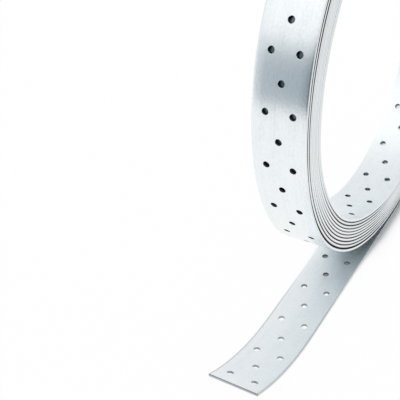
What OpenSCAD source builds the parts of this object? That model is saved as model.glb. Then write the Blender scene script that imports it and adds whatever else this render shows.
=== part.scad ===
// Perforated steel strap, wound into a coil that stands on its rim on its own loose end.
// The coil's axis runs along Y through the origin. The loose end lies flat towards -X, and its tip
// still curls up. The strap is one piece: rows of one hole and of two holes alternate along all of it.

/* [Strap] */
// Width of the strap
strap_w = 40; // [30:1:80]
// Thickness of the strap
strap_t = 2; // [1:0.1:3]

/* [Holes] */
// Diameter of a nail hole
hole_d = 5; // [3:0.1:7]
// Distance along the strap from one row of holes to the next
row_pitch = 20; // [14:0.5:40]
// Distance across the strap between the two holes of a pair
pair_pitch = 20; // [12:0.5:22]
// Distance along the strap from a cut end to the first row, which is a pair
end_margin = 14; // [8:0.5:30]

/* [Coil] */
// Diameter of the open middle of the coil
bore_d = 268; // [200:1:400]
// Turns that lie one round the other
turns = 10; // [4:1:14]
// Air between one turn and the next
turn_gap = 0.8; // [0.4:0.1:1.2]
// Depth to which the air between the turns shows at each end of the coil
gap_depth = 6; // [2:0.5:10]
// Where the strap's inner end lies, turned from straight below the axis towards +X
inner_end_at = 112; // [60:1:300]
// Slit between the inner end and the turn that closes on it
inner_end_slit = 1.5; // [0.8:0.1:4]

/* [Loose end] */
// Length that lies flat on the floor
flat_l = 160; // [120:1:400]
// Length of the tip, along its curl
tip_l = 90; // [40:1:150]
// Radius of the tip's curl, at the middle of the strap
tip_r = 165; // [110:1:400]
// How far below the coil's axis the bend is centred in which the strap lifts off the coil
lift_drop = 10; // [4:0.5:30]

/* [Hidden] */

steel = [0.78, 0.80, 0.82];
coil_fn = 240;
hole_fn = 24;

turn_pitch = strap_t + turn_gap;
bore_r = bore_d / 2;
coil_r = bore_r + turns * turn_pitch - turn_gap;
floor_z = -coil_r - turn_pitch;
hole_r = hole_d / 2;

// A hole reaches from outside the strap to the middle of the air behind it
hole_depth = strap_t + turn_gap / 2;
hole_clear = 1;

// The bend is as far below the coil at its lowest point as one turn is from the next
bend_r = coil_r + turn_pitch - lift_drop;
bend_at = acos((coil_r * coil_r - bend_r * bend_r - lift_drop * lift_drop) / (2 * bend_r * lift_drop));
bend_sunk_at = bend_at + 1;

// Lengths along the middle of the strap, and the angle at which the bend becomes the outer turn
degrees_per_turn = 360;
bend_mid_r = bend_r - strap_t / 2;
outer_mid_r = coil_r - strap_t / 2;
inner_mid_r = bore_r + strap_t / 2;
bend_l = PI * bend_mid_r * bend_at / 180;
outer_from = atan2(bend_r * sin(bend_at), lift_drop + bend_r * cos(bend_at));
outer_l = PI * outer_mid_r * (degrees_per_turn - outer_from) / 180;
inner_l = 2 * PI * inner_mid_r;
loose_l = tip_l + flat_l;
tip_axis_z = floor_z + strap_t / 2 + tip_r;

function arc_angle(length, radius) = length / radius * 180 / PI;
function last_row(length) = floor((length - end_margin) / row_pitch);
function is_pair(row) = row % 2 == 0;

// A round stretch of strap about an axis along Y, from straight below it towards +X
module strap_arc(inner_radius, sweep) {
    rotate([90, 0, 0])
        rotate([0, 0, -90])
            rotate_extrude(angle = sweep, $fn = coil_fn)
                translate([inner_radius, -strap_w / 2])
                    square([strap_t, strap_w]);
}

// The turns as one turned ring
module turned_coil() {
    rotate([90, 0, 0])
        rotate_extrude($fn = coil_fn)
            translate([bore_r, -strap_w / 2])
                square([coil_r - bore_r, strap_w]);
}

// The air between the turns, as it shows at both ends of the coil
module turn_gaps() {
    rotate([90, 0, 0])
        rotate_extrude($fn = coil_fn)
            for (turn = [1 : turns - 1], side = [-1, 1])
                translate([bore_r + turn * turn_pitch - turn_gap, side * strap_w / 2 - gap_depth])
                    square([turn_gap, 2 * gap_depth]);
}

// The air between the lifting strap and the turn below it, as it shows at both ends
module lift_gap() {
    for (side = [-1, 1])
        translate([0, side * strap_w / 2 + gap_depth, -lift_drop])
            rotate([90, 0, 0])
                rotate([0, 0, -90])
                    rotate_extrude(angle = bend_at, $fn = coil_fn)
                        translate([bend_r - strap_t - turn_gap, 0])
                            square([turn_gap, 2 * gap_depth]);
}

// The strap from the coil to its cut end: the bend, the flat length and the tip
module loose_end() {
    translate([0, 0, -lift_drop])
        strap_arc(bend_r - strap_t, bend_sunk_at);
    translate([-flat_l, -strap_w / 2, floor_z])
        cube([flat_l, strap_w, strap_t]);
    translate([-flat_l, 0, tip_axis_z])
        mirror([1, 0, 0])
            strap_arc(tip_r - strap_t / 2, arc_angle(tip_l, tip_r));
}

// One row of holes, drilled upwards from the face that looks down
module row_of_holes(row, depth) {
    for (y = is_pair(row) ? [-pair_pitch / 2, pair_pitch / 2] : [0])
        translate([0, y, -hole_clear])
            cylinder(h = depth + hole_clear, r = hole_r, $fn = hole_fn);
}

// The same row at a place on a round path about the axis, from outside
module row_on_arc(row, angle, outer_radius) {
    rotate([0, -angle, 0])
        translate([0, 0, -outer_radius])
            row_of_holes(row, hole_depth);
}

// All rows from the cut end to where the outer turn passes under the loose end again
module outer_rows() {
    for (row = [0 : last_row(loose_l + bend_l + outer_l)]) {
        along = end_margin + row * row_pitch;
        if (along < tip_l)
            translate([-flat_l, 0, tip_axis_z])
                row_on_arc(row, -arc_angle(tip_l - along, tip_r), tip_r + strap_t / 2);
        else if (along < loose_l)
            translate([along - loose_l, 0, floor_z])
                row_of_holes(row, hole_depth);
        else if (along < loose_l + bend_l)
            translate([0, 0, -lift_drop])
                row_on_arc(row, arc_angle(along - loose_l, bend_mid_r), bend_r);
        else
            row_on_arc(row, outer_from + arc_angle(along - loose_l - bend_l, outer_mid_r), coil_r);
    }
}

// All rows of the innermost turn, from the strap's inner end, drilled from the open middle
module inner_rows() {
    for (row = [0 : last_row(inner_l - end_margin)])
        rotate([0, arc_angle(end_margin + row * row_pitch, inner_mid_r) - inner_end_at, 0])
            translate([0, 0, -bore_r])
                mirror([0, 0, 1])
                    row_of_holes(row, hole_depth);
}

// The slit at the strap's inner end
module inner_end() {
    rotate([0, -inner_end_at, 0])
        translate([-inner_end_slit / 2, -strap_w, -bore_r - strap_t])
            cube([inner_end_slit, 2 * strap_w, strap_t + hole_clear]);
}

module strap() {
    color(steel)
        difference() {
            union() {
                turned_coil();
                loose_end();
            }
            turn_gaps();
            lift_gap();
            outer_rows();
            inner_rows();
            inner_end();
        }
}

strap();
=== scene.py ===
# Perforated steel strap, wound into a coil that stands on its own loose end.
import math

import bmesh
import bpy
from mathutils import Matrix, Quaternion, Vector


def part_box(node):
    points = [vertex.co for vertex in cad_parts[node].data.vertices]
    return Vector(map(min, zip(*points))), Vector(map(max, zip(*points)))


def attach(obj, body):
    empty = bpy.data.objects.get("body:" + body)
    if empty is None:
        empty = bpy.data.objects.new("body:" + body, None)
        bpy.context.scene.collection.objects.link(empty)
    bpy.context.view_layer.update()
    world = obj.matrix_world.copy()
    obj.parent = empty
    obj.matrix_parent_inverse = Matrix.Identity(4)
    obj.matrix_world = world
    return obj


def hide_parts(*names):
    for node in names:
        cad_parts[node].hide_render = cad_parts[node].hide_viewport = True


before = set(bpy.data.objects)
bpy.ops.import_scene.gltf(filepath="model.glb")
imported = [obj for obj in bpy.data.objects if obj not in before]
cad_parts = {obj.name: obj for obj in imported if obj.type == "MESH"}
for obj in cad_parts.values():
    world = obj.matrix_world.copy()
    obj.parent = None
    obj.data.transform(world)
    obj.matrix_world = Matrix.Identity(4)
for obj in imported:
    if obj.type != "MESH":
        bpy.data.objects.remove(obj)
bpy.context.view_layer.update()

MM = 0.001
# Points of the flat strap that differ by less than this, in metres, count as level
TINY = 1e-6

# The strap and its holes, in millimetres, as in the part's source
STRAP_W = 40.0
STRAP_T = 2.0
HOLE_R = 2.5
REPEAT = 40.0
END_MARGIN = 14.0
PAIR_ROW = END_MARGIN
SINGLE_ROW = END_MARGIN + REPEAT / 2
HALF_PAIR = 10.0
EDGE_BREAK = 0.11

# One flat repeat is a grid that has a point in the middle of each hole
CELLS_ALONG = 8
CELLS_ACROSS = 4
# Length before the cut tip, which the cut takes off
SPARE = 1.0
# A new hole has four sides, which are cut this often to make it round
RIM_CUTS = 3
# How far a normal lies along an axis when its face is square to it, and when it is on a broad side
SQUARE_ON = 0.99
BROAD_ON = 0.6
# Points of two repeats that are this near to each other are joined
JOIN_REACH = 0.01
# Faces that meet at less than this angle, in degrees, are shaded as one
SMOOTH_BELOW = 30.0

# The coil and the loose end, along the middle of the strap
COIL_MID_R = 160.2
FLOOR_MID_Z = -163.0
FLAT_L = 160.0
TIP_L = 90.0
TIP_R = 165.0
FULL_TURNS = 10
INNER_END_AT = 112.0
# Length of strap that faces the open middle
INNERMOST_L = 850.0
# Degrees over which a turn climbs out from under the one round it, beside the coil's foot
CLIMB = 60.0
# Degrees from one point of the path to the next, and points in the tip and in the flat length
PATH_STEP = 2.0
LOOSE_STEPS = 40

# Air between the turns round the coil: (degrees from straight below towards +X, millimetres)
AIR = [
    (0, 0.5),
    (50, 0.6141),
    (170, 0.6141),
    (228, 0.38),
    (270, 0.22),
    (305, 0.62),
    (335, 0.73),
    (360, 0.5),
]
# How much of that air each gap has, from the outermost gap to the innermost: all round, and on the left
AIR_SHARE = [1.9, 1.0, 1.2, 1.0, 0.75, 0.65, 0.8, 1.1, 0.9, 0.7]
LEFT_SHARE = [2.6, 3.4, 0.4, 0.7, 0.25, 0.25, 0.5, 1.2, 0.4, 0.3]
# How far the shares of the left hold, by degrees
LEFT_SIDE = [(0, 0), (170, 0), (228, 1), (268, 1), (306, 0), (360, 0)]
# How far the coil bulges out of round beside its foot
BULGE = [(0, 0), (258, 0), (298, 1.15), (322, 0.1), (360, 0)]
# Air between the loose end and the lowest turn above it
FOOT_GAP = 3.5

# The three finishes of the strap, in the order of its material slots
FACE, EDGE, WALL = range(3)

# Where a finish or a painted shade changes along the flat strap, in millimetres from its cut tip
TIP_RIM_SHADE_FADES = (110.0, 150.0)
LOOSE_EDGE_SHADE_FADES = (130.0, 230.0)
COIL_STARTS = (300.0, 400.0)
SECOND_TURN_STARTS = (1200.0, 1300.0)
OUTER_TURNS_END = (2900.0, 3200.0)
LAST_TURN_STARTS = (8950.0, 9050.0)
# Through the strap, from its inner side to its outer side
INNER_TO_OUTER = (-0.3, 0.3)

# Colours of the finishes, and what is laid over them
ZINC = [(0.3, (0.80, 0.84, 0.86)), (0.5, (0.868, 0.908, 0.924)), (0.7, (0.905, 0.942, 0.955))]
CUT_STEEL = [(0.0, (0.70, 0.72, 0.73)), (0.25, (0.89, 0.904, 0.91)), (0.5, (0.935, 0.942, 0.947))]
TORN_STEEL = [(0.3, (0.25, 0.262, 0.275)), (0.7, (0.45, 0.468, 0.48))]
# Painted shade along the rims of the loose end's upper side
TIP_RIM_SHADE = (0.72, 0.71, 0.71)
# Painted shade on the sides that other turns cover: a bluish tint, then a deep one
BLUISH_SHADE = (0.68, 0.82, 0.86)
GAP_SHADE = (0.10, 0.115, 0.12)
# Painted shade on the cut edge's rims beside the gaps between turns
RIM_SHADE = (0.45, 0.46, 0.47)
UPPER_SHADE = (0.95, 0.952, 0.952)
DULL_STRETCH = (0.87, 0.875, 0.88)
# Painted shade on the upper part of the loose end's cut edges
LOOSE_EDGE_SHADE = (0.61, 0.60, 0.59)

# The table top, in metres, and how far its shadow reaches from what stands on it
TABLE_R = 1.7
TABLE_SIDES = 96
SHADOW_REACH = 0.04
SHADOW_SAMPLES = 32
# How open a point of the table is where the shadow's contrast changes nothing
EVEN_OPENNESS = 0.75
# How far the table glows white, and its paint, by how open it is; the paint darkens to a bluish painted
# shade where the table is closed in
TABLE_GLOW = [(0.08, 0.05), (0.38, 0.82), (0.6, 0.95), (1.0, 0.97)]
TABLE_PAINT_AND_SHADE = [(0.08, (0.37, 0.40, 0.42)), (0.38, (0.95, 0.95, 0.95))]

# Tones of the room by height, where 0 is straight down and 1 is straight up
WHITE = (1.0, 1.0, 1.0)
PALE = (0.895, 0.905, 0.915)
DIM = (0.39, 0.45, 0.495)
DEEP = (0.15, 0.19, 0.215)
ROOM = [(0.47, WHITE), (0.5, PALE), (0.86, PALE), (0.95, WHITE)]
DIM_LEFT = [(0.62, DIM), (0.675, (0.70, 0.73, 0.75)), (0.715, (0.95, 0.955, 0.96)), (0.76, WHITE)]
DEEP_LEFT = [(0.66, DEEP), (0.71, (0.45, 0.48, 0.5)), (0.75, (0.88, 0.89, 0.9)), (0.79, WHITE)]
DIM_RIGHT = [(0.52, DIM), (0.59, (0.72, 0.75, 0.77)), (0.64, PALE)]

# The photograph's camera
EYE = Vector((-0.54225, -0.21978, 0.31569))
LOOK_AT = Vector((-0.1408, 0.0851, -0.0778))
ROLL = -8.16
LENS = 73.405
SENSOR = 36.0
CLIP_START = 0.01


def only(piece):
    """Select one piece and make it the active one."""
    bpy.ops.object.select_all(action="DESELECT")
    piece.select_set(True)
    bpy.context.view_layer.objects.active = piece


def pick(piece, kind, test):
    """In edit mode, select just the vertices, edges or faces that pass a test."""
    bpy.ops.mesh.select_mode(type=kind)
    bpy.ops.mesh.select_all(action="DESELECT")
    mesh = bmesh.from_edit_mesh(piece.data)
    parts = {"VERT": mesh.verts, "EDGE": mesh.edges, "FACE": mesh.faces}[kind]
    for part in parts:
        if test(part):
            part.select_set(True)
    mesh.select_flush_mode()
    bmesh.update_edit_mesh(piece.data)


def near(point, place, reach):
    """Whether a point lies within a reach, in millimetres, of a place on the flat strap."""
    return (point.xy - place).length < reach * MM


# The strap while it is flat


def punch(piece, place):
    """Open one round hole in the flat sheet about a point of its grid."""
    at_middle = 0.1
    around_rim = HOLE_R * 1.6
    pick(piece, "VERT", lambda v: near(v.co, place, at_middle))
    bpy.ops.mesh.bevel(offset=HOLE_R * MM, affect="VERTICES", segments=1)
    pick(piece, "FACE", lambda f: near(f.calc_center_median(), place, at_middle))
    bpy.ops.mesh.delete(type="ONLY_FACE")
    pick(piece, "EDGE", lambda e: all(near(v.co, place, around_rim) for v in e.verts))
    bpy.ops.mesh.subdivide(number_cuts=RIM_CUTS)
    pick(piece, "VERT", lambda v: near(v.co, place, around_rim))
    bpy.ops.transform.tosphere(value=1.0)
    mesh = bmesh.from_edit_mesh(piece.data)
    now = max((v.co.xy - place).length for v in mesh.verts if v.select)
    grow = HOLE_R * MM / now
    bpy.ops.transform.resize(value=(grow, grow, 1), center_override=(place.x, place.y, 0))
    pick(piece, "VERT", lambda v: is_corner(v.co.xy - place))
    bpy.ops.mesh.vert_connect()


def is_corner(offset):
    """Whether a point is on a diagonal of a hole, on its rim or at a far corner of its patch."""
    along, across = abs(offset.x), abs(offset.y)
    on_rim = offset.length < HOLE_R * MM * 1.1
    on_diagonal = min(along, across) > HOLE_R * MM * 0.6
    far_along = abs(along - REPEAT / CELLS_ALONG * MM) < TINY
    far_across = abs(across - STRAP_W / CELLS_ACROSS * MM) < TINY
    return (on_rim and on_diagonal) or (far_along and far_across)


def flat_repeat(holes):
    """One repeat of the strap: a row of two holes and a row of one, open at both ends."""
    bpy.ops.object.select_all(action="DESELECT")
    bpy.ops.mesh.primitive_grid_add(
        x_subdivisions=CELLS_ALONG,
        y_subdivisions=CELLS_ACROSS,
        size=REPEAT * MM,
        location=((REPEAT / 2 - SPARE) * MM, 0, 0),
    )
    piece = bpy.context.object
    piece.name = "wound_strap"
    piece.data.name = "wound_strap"
    bpy.ops.object.transform_apply(location=True, rotation=True, scale=True)
    bpy.ops.object.mode_set(mode="EDIT")
    for place in holes:
        punch(piece, place)
    give_thickness(piece)
    break_edges(piece, holes)
    bpy.ops.object.mode_set(mode="OBJECT")
    return piece


def give_thickness(piece):
    """Extrude the punched sheet to the strap's thickness and open the two ends again."""
    bpy.ops.mesh.select_mode(type="FACE")
    bpy.ops.mesh.select_all(action="SELECT")
    bpy.ops.mesh.extrude_region_move(TRANSFORM_OT_translate={"value": (0, 0, STRAP_T * MM)})
    bpy.ops.mesh.select_all(action="SELECT")
    bpy.ops.transform.translate(value=(0, 0, -STRAP_T / 2 * MM))
    bpy.ops.mesh.normals_make_consistent(inside=False)
    pick(piece, "FACE", lambda f: abs(f.normal.x) > SQUARE_ON and is_end(f))
    bpy.ops.mesh.delete(type="ONLY_FACE")


def is_end(face):
    """Whether a wall closes an end of the repeat, where the next repeat joins on."""
    middle = (REPEAT / 2 - SPARE) * MM
    return all(abs(abs(v.co.x - middle) - REPEAT / 2 * MM) < TINY for v in face.verts)


def break_edges(piece, holes):
    """Take the sharpness off the sheared edges and the rims of the holes."""

    def is_sharp(edge):
        ends = [v.co for v in edge.verts]
        if abs(ends[0].z - ends[1].z) > TINY:
            return False
        if all(abs(abs(co.y) - STRAP_W / 2 * MM) < TINY for co in ends):
            return abs(ends[0].x - ends[1].x) > TINY
        return any(all(near(co, place, HOLE_R * 1.05) for co in ends) for place in holes)

    pick(piece, "EDGE", is_sharp)
    bpy.ops.mesh.bevel(offset=EDGE_BREAK * MM, affect="EDGES", segments=1)


# The path that the strap is wound along


def eased(table, at):
    """A value from a table of (place, value), with a soft step from each entry to the next."""
    for (start, first), (end, second) in zip(table, table[1:]):
        if at <= end:
            part = (at - start) / (end - start)
            return first + (second - first) * (1 - math.cos(math.pi * part)) / 2
    return table[-1][1]


def turn_radius(turn, angle):
    """Radius of the strap's middle on one turn, at an angle from straight below towards +X."""
    lowest = -FLOOR_MID_Z - STRAP_T - FOOT_GAP
    settle = (lowest - COIL_MID_R) * eased([(0, 1), (CLIMB, 0), (360 - CLIMB, 0), (360, 1)], angle)
    air_below = AIR[0][1] * AIR_SHARE[turn - 1] if turn else FOOT_GAP
    climb = (STRAP_T + air_below) * eased([(0, 1), (CLIMB, 0), (360, 0)], angle)
    left = eased(LEFT_SIDE, angle)
    gaps = sum(AIR_SHARE[:turn]) * (1 - left) + sum(LEFT_SHARE[:turn]) * left
    round_r = COIL_MID_R + settle + climb + eased(BULGE, angle)
    return round_r - STRAP_T * turn - eased(AIR, angle) * gaps


def strap_path():
    """Points along the middle of the strap, from the cut tip to the end inside the coil."""
    points = []
    for step in range(LOOSE_STEPS):
        angle = TIP_L / TIP_R * (1 - step / LOOSE_STEPS)
        rise_z = TIP_R * (1 - math.cos(angle))
        points.append((-FLAT_L - TIP_R * math.sin(angle), FLOOR_MID_Z + rise_z))
    for step in range(LOOSE_STEPS):
        points.append((-FLAT_L * (1 - step / LOOSE_STEPS), FLOOR_MID_Z))
    steps = round((360 * FULL_TURNS + INNER_END_AT) / PATH_STEP)
    for step in range(steps + 1):
        turn, angle = divmod(step * PATH_STEP, 360)
        radius = turn_radius(int(turn), angle)
        around = math.radians(angle - 90)
        points.append((radius * math.cos(around), radius * math.sin(around)))
    return points


def path_length(points):
    """Length of the path, and so of the strap, in millimetres."""
    return sum(math.dist(a, b) for a, b in zip(points, points[1:]))


def guide_curve(points):
    """The path as a flat curve that the strap is bent along."""
    data = bpy.data.curves.new("strap_guide", "CURVE")
    data.dimensions = "2D"
    line = data.splines.new("POLY")
    line.points.add(len(points) - 1)
    for point, (x, z) in zip(line.points, points):
        point.co = (x * MM, z * MM, 0, 1)
    guide = bpy.data.objects.new("strap_guide", data)
    bpy.context.scene.collection.objects.link(guide)
    return guide


# The finished strap


def repeat_to_length(piece, length):
    """Join copies of the repeat end to end until they are long enough."""
    row = piece.modifiers.new("repeats", "ARRAY")
    row.use_relative_offset = False
    row.use_constant_offset = True
    row.constant_offset_displace = (REPEAT * MM, 0, 0)
    row.count = math.ceil((length + SPARE) / REPEAT)
    row.use_merge_vertices = True
    row.merge_threshold = JOIN_REACH * MM
    apply_all(piece)


def cut_to_length(piece, length):
    """Cut the long flat strap off square at both ends."""
    bpy.ops.object.mode_set(mode="EDIT")
    for at, facing in ((0.0, -1), (length * MM, 1)):
        bpy.ops.mesh.select_mode(type="FACE")
        bpy.ops.mesh.select_all(action="SELECT")
        bpy.ops.mesh.bisect(
            plane_co=(at, 0, 0), plane_no=(facing, 0, 0), use_fill=True, clear_outer=True, threshold=1e-7
        )
    bpy.ops.object.mode_set(mode="OBJECT")


def keep_flat_places(piece):
    """Store where each point lay on the flat strap: along it, across it and through it."""
    places = piece.data.attributes.new("flat_place", "FLOAT_VECTOR", "POINT")
    for vertex, place in zip(piece.data.vertices, places.data):
        place.vector = vertex.co


def mark_covered(piece, length):
    """Mark the sides of the strap that another turn lies on, where shade is painted on them."""
    loose = TIP_L + FLAT_L
    outer_turn = loose + math.tau * COIL_MID_R
    inner_turn = length - INNERMOST_L
    outer_side = [
        (0, 0),
        (outer_turn - 75, 0),
        (outer_turn - 15, 0.3),
        (outer_turn + 20, 0.3),
        (outer_turn + 90, 1),
        (length, 1),
    ]
    inner_side = [
        (0, 0),
        (loose + 60, 0),
        (loose + 130, 0.12),
        (inner_turn - 40, 0.12),
        (inner_turn, 0),
        (length, 0),
    ]
    covered = piece.data.attributes.new("covered", "FLOAT", "POINT")
    for vertex, mark in zip(piece.data.vertices, covered.data):
        mark.value = eased(outer_side if vertex.co.z > 0 else inner_side, vertex.co.x / MM)


def finish_of(face):
    """Which finish a face of the flat strap has: rolled, sheared at an edge or punched in a hole."""
    if abs(face.normal.z) > BROAD_ON:
        return FACE
    beside_edge = 0.5
    on_middle = 0.01
    at_side = abs(face.center.y) > (STRAP_W / 2 - beside_edge) * MM
    at_cut = abs(face.normal.x) > SQUARE_ON and abs(face.center.y) < on_middle * MM
    return EDGE if at_side or at_cut else WALL


def stand_up(piece):
    """Turn the piece a quarter about X, in its mesh."""
    only(piece)
    piece.rotation_euler = (math.pi / 2, 0, 0)
    bpy.ops.object.transform_apply(location=True, rotation=True, scale=True)


def apply_all(piece):
    """Apply the piece's modifiers in their order."""
    only(piece)
    for modifier in list(piece.modifiers):
        bpy.ops.object.modifier_apply(modifier=modifier.name)


def wind(piece, points):
    """Bend the flat strap along its path, in the upright plane of the coil."""
    stand_up(piece)
    guide = guide_curve(points)
    bend = piece.modifiers.new("wind", "CURVE")
    bend.object = guide
    bend.deform_axis = "POS_X"
    apply_all(piece)
    bpy.data.objects.remove(guide)
    stand_up(piece)


def wound_strap():
    """The whole strap as one mesh, from its cut tip to its end inside the coil."""
    holes = [
        Vector((PAIR_ROW, -HALF_PAIR)) * MM,
        Vector((PAIR_ROW, HALF_PAIR)) * MM,
        Vector((SINGLE_ROW, 0)) * MM,
    ]
    points = strap_path()
    length = path_length(points)
    piece = flat_repeat(holes)
    repeat_to_length(piece, length)
    cut_to_length(piece, length)
    keep_flat_places(piece)
    mark_covered(piece, length)
    for finish in (galvanised_face(), sheared_edge(), punched_wall()):
        piece.data.materials.append(finish)
    for face in piece.data.polygons:
        face.material_index = finish_of(face)
    wind(piece, points)
    bpy.ops.object.shade_smooth_by_angle(angle=math.radians(SMOOTH_BELOW))
    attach(piece, "root")
    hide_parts("strap")


# Nodes that the finishes are made of


def new_metal(name):
    """A bare metal, with its node tree and its shader."""
    material = bpy.data.materials.new(name)
    material.use_nodes = True
    tree = material.node_tree
    tree.nodes.clear()
    output = tree.nodes.new("ShaderNodeOutputMaterial")
    shader = tree.nodes.new("ShaderNodeBsdfPrincipled")
    shader.inputs["Metallic"].default_value = 1.0
    tree.links.new(shader.outputs["BSDF"], output.inputs["Surface"])
    return material, tree, shader


def separate(tree, vector):
    """The X, Y and Z of a vector."""
    node = tree.nodes.new("ShaderNodeSeparateXYZ")
    tree.links.new(vector, node.inputs["Vector"])
    return node.outputs


def flat_place(tree, stretch):
    """Coordinates on the flat strap, stretched along, across and through it."""
    place = tree.nodes.new("ShaderNodeAttribute")
    place.attribute_name = "flat_place"
    mapping = tree.nodes.new("ShaderNodeMapping")
    mapping.inputs["Scale"].default_value = stretch
    tree.links.new(place.outputs["Vector"], mapping.inputs["Vector"])
    return mapping.outputs["Vector"]


def flat_axes(tree):
    """Where a point lay along, across and through the flat strap, in millimetres."""
    return separate(tree, flat_place(tree, (1 / MM, 1 / MM, 1 / MM)))


def object_axes(tree):
    """Where a point lies on the standing piece, in metres."""
    where = tree.nodes.new("ShaderNodeTexCoord")
    return separate(tree, where.outputs["Object"])


def covered_part(tree):
    """How far another turn covers the strap, as marked on its points."""
    mark = tree.nodes.new("ShaderNodeAttribute")
    mark.attribute_name = "covered"
    return mark.outputs["Fac"]


def noise(tree, stretch, detail, rough):
    """Soft noise on the flat strap."""
    node = tree.nodes.new("ShaderNodeTexNoise")
    node.inputs["Scale"].default_value = 1.0
    node.inputs["Detail"].default_value = detail
    node.inputs["Roughness"].default_value = rough
    tree.links.new(flat_place(tree, stretch), node.inputs["Vector"])
    return node.outputs["Fac"]


def cells(tree, scale):
    """Flat-toned crystal cells on the flat strap."""
    node = tree.nodes.new("ShaderNodeTexVoronoi")
    node.inputs["Scale"].default_value = scale
    tree.links.new(flat_place(tree, (1.0, 1.0, 1.0)), node.inputs["Vector"])
    tone = tree.nodes.new("ShaderNodeSeparateColor")
    tree.links.new(node.outputs["Color"], tone.inputs["Color"])
    return tone.outputs["Red"]


def remap(tree, value, span, target):
    """A value carried over from one span to another, and held at its ends."""
    node = tree.nodes.new("ShaderNodeMapRange")
    node.inputs["From Min"].default_value = span[0]
    node.inputs["From Max"].default_value = span[1]
    node.inputs["To Min"].default_value = target[0]
    node.inputs["To Max"].default_value = target[1]
    tree.links.new(value, node.inputs["Value"])
    return node.outputs["Result"]


def rise(tree, value, span):
    """From 0 to 1 over a span."""
    return remap(tree, value, span, (0.0, 1.0))


def fall(tree, value, span):
    """From 1 to 0 over a span."""
    return remap(tree, value, span, (1.0, 0.0))


def combine(tree, operation, first, second):
    """Two values through a sum, a product or the like."""
    node = tree.nodes.new("ShaderNodeMath")
    node.operation = operation
    for socket, value in zip(node.inputs, (first, second)):
        if isinstance(value, float):
            socket.default_value = value
        else:
            tree.links.new(value, socket)
    return node.outputs["Value"]


def product(tree, first, *others):
    """Values multiplied together."""
    for other in others:
        first = combine(tree, "MULTIPLY", first, other)
    return first


def greater(tree, first, second):
    """The greater of two values."""
    return combine(tree, "MAXIMUM", first, second)


def size_of(tree, value):
    """A value without its sign."""
    return combine(tree, "ABSOLUTE", value, 0.0)


def tones(tree, value, stops):
    """A colour from a row of (place, colour)."""
    node = tree.nodes.new("ShaderNodeValToRGB")
    ramp = node.color_ramp
    while len(ramp.elements) < len(stops):
        ramp.elements.new(1.0)
    for element, (place, colour) in zip(ramp.elements, stops):
        element.position = place
        element.color = (*colour, 1.0)
    tree.links.new(value, node.inputs["Fac"])
    return node.outputs["Color"]


def mix_colours(tree, blend_type, first, second):
    """A node that lays one colour over another."""
    node = tree.nodes.new("ShaderNodeMix")
    node.data_type = "RGBA"
    node.blend_type = blend_type
    tree.links.new(first, node.inputs[6])
    tree.links.new(second, node.inputs[7])
    return node


def tinted(tree, colour, amount, tint):
    """A colour, multiplied by a tint as far as an amount from 0 to 1 says."""
    film = tones(tree, amount, [(0.0, WHITE), (1.0, tint)])
    node = mix_colours(tree, "MULTIPLY", colour, film)
    node.inputs[0].default_value = 1.0
    return node.outputs[2]


def blend(tree, amount, first, second):
    """From one colour to another, as far as an amount from 0 to 1 says."""
    node = mix_colours(tree, "MIX", first, second)
    tree.links.new(amount, node.inputs[0])
    return node.outputs[2]


def relief(tree, height, strength, depth):
    """Relief of a depth in millimetres."""
    node = tree.nodes.new("ShaderNodeBump")
    node.inputs["Strength"].default_value = strength
    node.inputs["Distance"].default_value = depth * MM
    tree.links.new(height, node.inputs["Height"])
    return node


# Finishes


def zinc_tone(tree, fine, speckle):
    """How light the zinc is: lines drawn along the strap, a fine mottle and very faint crystals."""
    broad = noise(tree, (5.0, 120.0, 1.0), 2.0, 0.5)
    lines = combine(tree, "ADD", product(tree, fine, 0.6), product(tree, broad, 0.4))
    mottle = remap(tree, speckle, (0.32, 0.68), (0.08, 0.24))
    grain = combine(tree, "ADD", product(tree, cells(tree, 170.0), 0.08), mottle)
    return combine(tree, "ADD", product(tree, lines, 0.6), grain)


def tip_rim_shade(tree, place, across):
    """Painted shade along the rims of the loose end's upper side."""
    rim = rise(tree, across, (18.6, 19.2))
    inner = fall(tree, place["Z"], INNER_TO_OUTER)
    return product(tree, rim, fall(tree, place["X"], TIP_RIM_SHADE_FADES), inner)


def open_gaps(tree, place, spot):
    """Where the turns lie apart and shade is painted between them: low on the left, and up the outer turns.
    """
    low = rise(tree, spot["Z"], (-0.03, -0.08))
    left = fall(tree, spot["X"], (-0.04, -0.005))
    outer_turns = fall(tree, place["X"], OUTER_TURNS_END)
    up = remap(tree, spot["Z"], (-0.025, 0.0), (0.2, 1.0))
    return greater(tree, product(tree, low, left), product(tree, outer_turns, up))


def shade_between_turns(tree, place, across):
    """How much shade is painted on the covered sides; away from open gaps it thins out at their rims."""
    covered = covered_part(tree)
    gaps = open_gaps(tree, place, object_axes(tree))
    inner = fall(tree, place["Z"], INNER_TO_OUTER)
    pocket = product(tree, gaps, inner, remap(tree, covered, (0.02, 0.1), (0.0, 0.7)))
    thinner_at_rims = remap(tree, across, (19.6, 19.85), (1.0, 0.42))
    painted_shade = greater(tree, product(tree, covered, greater(tree, gaps, thinner_at_rims)), pocket)
    lighter_middle = remap(tree, across, (13.0, 16.0), (0.93, 1.0))
    return product(tree, painted_shade, lighter_middle)


def rolled_edges(tree, place, across):
    """How far the outer side drops towards its edges: a wide roll, and a lip at the very edge."""
    wide = combine(tree, "POWER", rise(tree, across, (12.5, 20.0)), 2.0)
    lip = combine(tree, "POWER", remap(tree, across, (18.6, 20.0), (0.0, 0.7)), 2.0)
    downwards = remap(tree, place["Z"], INNER_TO_OUTER, (0.0, -1.0))
    return product(tree, combine(tree, "ADD", wide, lip), downwards)


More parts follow.
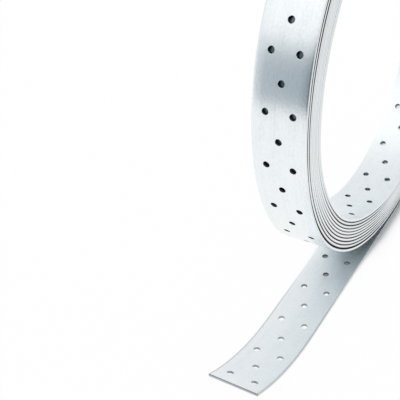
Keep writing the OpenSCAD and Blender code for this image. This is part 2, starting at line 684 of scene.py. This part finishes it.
def galvanised_face():
    """Rolled zinc: fine lines along the strap, a faint grain, painted shade between the turns and rolled
    edges.
    """
    material, tree, shader = new_metal("galvanised_face")
    place = flat_axes(tree)
    across = size_of(tree, place["Y"])
    fine = noise(tree, (9.0, 900.0, 1.0), 3.0, 0.6)
    speckle = noise(tree, (420.0, 520.0, 1.0), 2.0, 0.6)
    tone = zinc_tone(tree, fine, speckle)
    painted_shade = shade_between_turns(tree, place, across)
    colour = tones(tree, tone, ZINC)
    # Painted shade along the rims of the loose end's upper side
    colour = tinted(tree, colour, tip_rim_shade(tree, place, across), TIP_RIM_SHADE)
    # Painted shade on the covered sides: bluish at first, deep where it is strongest
    colour = tinted(tree, colour, rise(tree, painted_shade, (0.0, 0.3)), BLUISH_SHADE)
    colour = tinted(tree, colour, rise(tree, painted_shade, (0.3, 1.0)), GAP_SHADE)
    tree.links.new(colour, shader.inputs["Base Color"])
    polish = remap(tree, tone, (0.3, 0.7), (0.24, 0.18))
    duller_inside = remap(tree, place["Z"], INNER_TO_OUTER, (0.14, 0.0))
    tree.links.new(combine(tree, "ADD", polish, duller_inside), shader.inputs["Roughness"])
    rolled = relief(tree, rolled_edges(tree, place, across), 1.0, 0.27)
    drawn = relief(tree, fine, 0.3, 0.02)
    grained = relief(tree, speckle, 1.0, 0.035)
    tree.links.new(rolled.outputs["Normal"], drawn.inputs["Normal"])
    tree.links.new(drawn.outputs["Normal"], grained.inputs["Normal"])
    tree.links.new(grained.outputs["Normal"], shader.inputs["Normal"])
    return material


def painted_rim_shade(tree, place, spot):
    """Painted shade on the rims of the cut edge: beside open gaps, and high up on the coil's own two rims.
    """
    high = rise(tree, spot["Z"], (0.0, 0.05))
    turn_outside = rise(tree, place["X"], SECOND_TURN_STARTS)
    outer_rim = product(tree, rise(tree, place["Z"], (0.4, 0.8)), greater(tree, high, turn_outside))
    inner_rim = product(tree, rise(tree, place["Z"], (-0.5, -0.85)), rise(tree, place["X"], COIL_STARTS))
    last_turn = rise(tree, place["X"], LAST_TURN_STARTS)
    bore_rim = product(tree, inner_rim, last_turn, high)
    turn_inside = combine(tree, "SUBTRACT", 1.0, last_turn)
    beside_gap = greater(tree, outer_rim, product(tree, inner_rim, turn_inside))
    return greater(tree, product(tree, beside_gap, open_gaps(tree, place, spot)), bore_rim)


def sheared_edge():
    """Cut steel: a bright sheared band beside a duller torn one, and painted shade on the rims and on the
    loose end.
    """
    material, tree, shader = new_metal("sheared_edge")
    place = flat_axes(tree)
    spot = object_axes(tree)
    marks = noise(tree, (700.0, 700.0, 40.0), 2.0, 0.6)
    waver = noise(tree, (60.0, 60.0, 0.0), 2.0, 0.5)
    stretches = noise(tree, (2.6, 0.0, 0.0), 3.0, 0.6)
    band = combine(tree, "ADD", place["Z"], remap(tree, waver, (0.0, 1.0), (-0.25, 0.25)))
    torn = rise(tree, band, (-0.15, 0.1))
    marked = remap(tree, marks, (0.0, 1.0), (0.2, 0.4))
    tone = combine(tree, "SUBTRACT", marked, product(tree, torn, 0.08))
    # Painted shade on the upper part of the loose end's cut edges
    shaded_loose_edge = product(tree, fall(tree, place["X"], LOOSE_EDGE_SHADE_FADES), fall(tree, place["Z"], (-0.2, 0.4)))
    colour = tones(tree, tone, CUT_STEEL)
    colour = tinted(tree, colour, rise(tree, spot["Z"], (-0.09, -0.03)), UPPER_SHADE)
    # Painted shade on the rims beside the gaps between turns and high on the coil's rims
    colour = tinted(tree, colour, painted_rim_shade(tree, place, spot), RIM_SHADE)
    colour = tinted(tree, colour, rise(tree, stretches, (0.4, 0.62)), DULL_STRETCH)
    # Painted shade on the loose end's cut edges
    colour = tinted(tree, colour, shaded_loose_edge, LOOSE_EDGE_SHADE)
    tree.links.new(colour, shader.inputs["Base Color"])
    tree.links.new(remap(tree, torn, (0.0, 1.0), (0.3, 0.42)), shader.inputs["Roughness"])
    tree.links.new(relief(tree, marks, 0.1, 0.03).outputs["Normal"], shader.inputs["Normal"])
    return material


def punched_wall():
    """The wall of a punched hole: dark torn steel with marks along the punch's way."""
    material, tree, shader = new_metal("punched_wall")
    marks = noise(tree, (900.0, 900.0, 60.0), 2.0, 0.6)
    tree.links.new(tones(tree, marks, TORN_STEEL), shader.inputs["Base Color"])
    shader.inputs["Roughness"].default_value = 0.4
    tree.links.new(relief(tree, marks, 0.4, 0.05).outputs["Normal"], shader.inputs["Normal"])
    return material


# The studio


def add_camera():
    """The camera, where the photograph was taken from."""
    data = bpy.data.cameras.new("camera")
    data.lens = LENS
    data.sensor_width = SENSOR
    data.clip_start = CLIP_START
    camera = bpy.data.objects.new("camera", data)
    bpy.context.scene.collection.objects.link(camera)
    aim = (LOOK_AT - EYE).to_track_quat("-Z", "Y")
    camera.rotation_mode = "QUATERNION"
    camera.rotation_quaternion = aim @ Quaternion((0, 0, 1), math.radians(ROLL))
    camera.location = EYE
    bpy.context.scene.camera = camera


def table_openness(tree):
    """How open the table is to the room: its shadow is faint under the tip and deep beside the coil."""
    corner = tree.nodes.new("ShaderNodeAmbientOcclusion")
    corner.samples = SHADOW_SAMPLES
    corner.inputs["Distance"].default_value = SHADOW_REACH
    along = object_axes(tree)["X"]
    under_strap = remap(tree, along, (-0.21, -0.1), (0.3, 1.9))
    beside_coil = remap(tree, along, (-0.085, -0.035), (0.0, 1.15))
    contrast = combine(tree, "ADD", under_strap, beside_coil)
    blocked = combine(tree, "SUBTRACT", EVEN_OPENNESS, corner.outputs["AO"])
    return combine(tree, "SUBTRACT", EVEN_OPENNESS, product(tree, blocked, contrast))


def white_table():
    """White paint that glows for the camera and for mirrored or refracted rays, but for the close shadow."""
    material = bpy.data.materials.new("white_table")
    material.use_nodes = True
    tree = material.node_tree
    tree.nodes.clear()
    output = tree.nodes.new("ShaderNodeOutputMaterial")
    paint = tree.nodes.new("ShaderNodeBsdfDiffuse")
    glow = tree.nodes.new("ShaderNodeEmission")
    glow.inputs["Color"].default_value = (1, 1, 1, 1)
    glow.inputs["Strength"].default_value = 1.0
    rays = tree.nodes.new("ShaderNodeLightPath")
    seen = greater(tree, rays.outputs["Is Camera Ray"], rays.outputs["Is Glossy Ray"])
    seen = greater(tree, seen, rays.outputs["Is Transmission Ray"])
    openness = table_openness(tree)
    glowing = tones(tree, openness, [(place, (tone, tone, tone)) for place, tone in TABLE_GLOW])
    # The paint darkens to a bluish painted shade where the table is closed in
    tree.links.new(tones(tree, openness, TABLE_PAINT_AND_SHADE), paint.inputs["Color"])
    mix = tree.nodes.new("ShaderNodeMixShader")
    tree.links.new(product(tree, seen, glowing), mix.inputs["Fac"])
    tree.links.new(paint.outputs["BSDF"], mix.inputs[1])
    tree.links.new(glow.outputs["Emission"], mix.inputs[2])
    tree.links.new(mix.outputs["Shader"], output.inputs["Surface"])
    return material


def add_floor():
    """A round white table top under the coil."""
    floor_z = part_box("strap")[0].z
    bpy.ops.object.select_all(action="DESELECT")
    bpy.ops.mesh.primitive_circle_add(
        vertices=TABLE_SIDES, radius=TABLE_R, fill_type="NGON", location=(0, 0, floor_z)
    )
    floor = bpy.context.object
    floor.name = "floor"
    bpy.ops.object.transform_apply(location=True, rotation=True, scale=True)
    floor.data.materials.append(white_table())


def set_world():
    """A pale room, white above and below; the metal mirrors two dim sides that the camera doesn't see."""
    world = bpy.data.worlds.new("studio")
    bpy.context.scene.world = world
    world.use_nodes = True
    tree = world.node_tree
    tree.nodes.clear()
    output = tree.nodes.new("ShaderNodeOutputWorld")
    direction = tree.nodes.new("ShaderNodeTexCoord")
    axes = separate(tree, direction.outputs["Generated"])
    height = rise(tree, axes["Z"], (-1.0, 1.0))
    rays = tree.nodes.new("ShaderNodeLightPath")
    unseen = combine(tree, "SUBTRACT", 1.0, rays.outputs["Is Camera Ray"])

    near_left = rise(tree, axes["Y"], (0.36, 0.22))
    left_tone = blend(tree, near_left, tones(tree, height, DIM_LEFT), tones(tree, height, DEEP_LEFT))
    left = product(tree, rise(tree, axes["X"], (-0.25, -0.6)), fall(tree, axes["Y"], (0.44, 0.6)), unseen)

    right_tone = tones(tree, height, DIM_RIGHT)
    straight_right = fall(tree, size_of(tree, axes["Y"]), (0.06, 0.22))
    right = product(tree, rise(tree, axes["X"], (0.75, 0.92)), straight_right, unseen)

    room = blend(tree, right, tones(tree, height, ROOM), right_tone)
    room = blend(tree, left, room, left_tone)
    around = tree.nodes.new("ShaderNodeBackground")
    around.inputs["Strength"].default_value = 1.0
    tree.links.new(room, around.inputs["Color"])
    tree.links.new(around.outputs["Background"], output.inputs["Surface"])


def add_softbox(name, place, aim, size, power):
    """A square lamp that looks from its place towards a point."""
    data = bpy.data.lights.new(name, "AREA")
    data.shape = "SQUARE"
    data.size = size
    data.energy = power
    lamp = bpy.data.objects.new(name, data)
    bpy.context.scene.collection.objects.link(lamp)
    lamp.location = place
    lamp.rotation_euler = (Vector(aim) - Vector(place)).to_track_quat("-Z", "Y").to_euler()


add_camera()
wound_strap()
add_floor()
set_world()
add_softbox("softbox_above", place=(-0.28, 0.4, 1.25), aim=(0, 0, -0.05), size=1.1, power=0.9)
add_softbox("softbox_left", place=(-1.0, 0.57, 1.03), aim=(0, 0, 0), size=0.9, power=0.2)
bpy.context.scene.view_settings.view_transform = "Standard"
